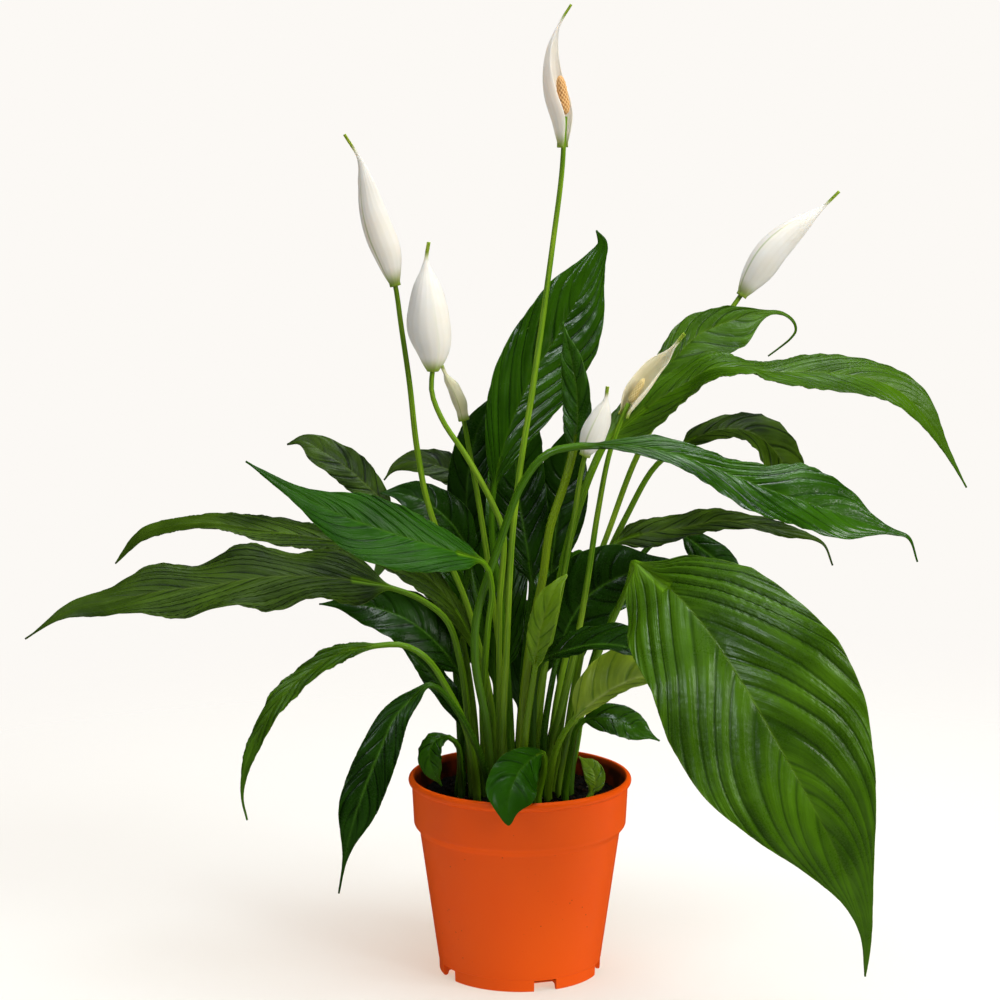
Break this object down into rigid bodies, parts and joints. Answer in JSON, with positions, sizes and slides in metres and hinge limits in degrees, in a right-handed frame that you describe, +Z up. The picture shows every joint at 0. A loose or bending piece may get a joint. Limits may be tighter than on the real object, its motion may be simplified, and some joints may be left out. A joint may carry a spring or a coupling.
{
  "type": "potted peace lily",
  "caption": "Peace lily with long arching green leaves and white hooded blooms on tall stalks, growing in soil in a tapered orange plastic nursery pot.",
  "frame": {"origin": "centre of the pot's flat underside pad, on the pot's axis", "axes": "+Z up along the pot's axis, -Y towards the plant's front, +X to its right as seen from the front"},
  "size_m": [0.494, 0.3639, 0.517],
  "materials": {
    "pot_plastic": "satin moulded plastic",
    "soil": "loose damp potting mix",
    "leaf": "waxy leaf with veins",
    "stalk": "smooth fleshy stem",
    "spathe": "soft white petal-like leaf",
    "spadix": "bumpy pollen-covered spike"
  },
  "bodies": {
    "root": {"pot": "pot_plastic", "soil": "soil", "leaf_right_large": "leaf", "leaf_right_glossy": "leaf", "leaf_right_upper": "leaf", "leaf_right_twisted": "leaf", "leaf_right_arching": "leaf", "leaf_right_wavy": "leaf", "leaf_right_small": "leaf", "leaf_right_dark": "leaf", "leaf_right_low": "leaf", "leaf_right_pale": "leaf", "leaf_right_rim": "leaf", "leaf_inside_rim": "leaf", "leaf_front_rim": "leaf", "leaf_left_glossy": "leaf", "leaf_left_long": "leaf", "leaf_left_behind": "leaf", "leaf_left_upper": "leaf", "leaf_left_olive": "leaf", "leaf_left_upright": "leaf", "leaf_left_low": "leaf", "leaf_left_ragged": "leaf", "leaf_left_narrow": "leaf", "leaf_left_drooping": "leaf", "leaf_left_rim": "leaf", "leaf_centre_large": "leaf", "leaf_centre_upright": "leaf", "leaf_centre_short": "leaf", "leaf_centre_dark": "leaf", "leaf_left_middle": "leaf", "leaf_centre_behind": "leaf", "leaf_back_1": "leaf", "leaf_back_2": "leaf", "leaf_back_3": "leaf", "leaf_back_4": "leaf", "leaf_back_5": "leaf", "leaf_back_6": "leaf", "bloom_top_stalk": "stalk", "bloom_top_spathe": "spathe", "bloom_top_spadix": "spadix", "bloom_upper_left_stalk": "stalk", "bloom_upper_left_spathe": "spathe", "bloom_upper_left_spadix": "spadix", "bloom_left_stalk": "stalk", "bloom_left_spathe": "spathe", "bloom_left_spadix": "spadix", "bloom_withered_stalk": "stalk", "bloom_withered_spathe": "spathe", "bloom_withered_spadix": "spadix", "bloom_right_stalk": "stalk", "bloom_right_spathe": "spathe", "bloom_right_spadix": "spadix", "bloom_centre_stalk": "stalk", "bloom_centre_spathe": "spathe", "bloom_centre_spadix": "spadix", "bloom_centre_right_stalk": "stalk", "bloom_centre_right_spathe": "spathe", "bloom_centre_right_spadix": "spadix"}
  },
  "joints": []
}
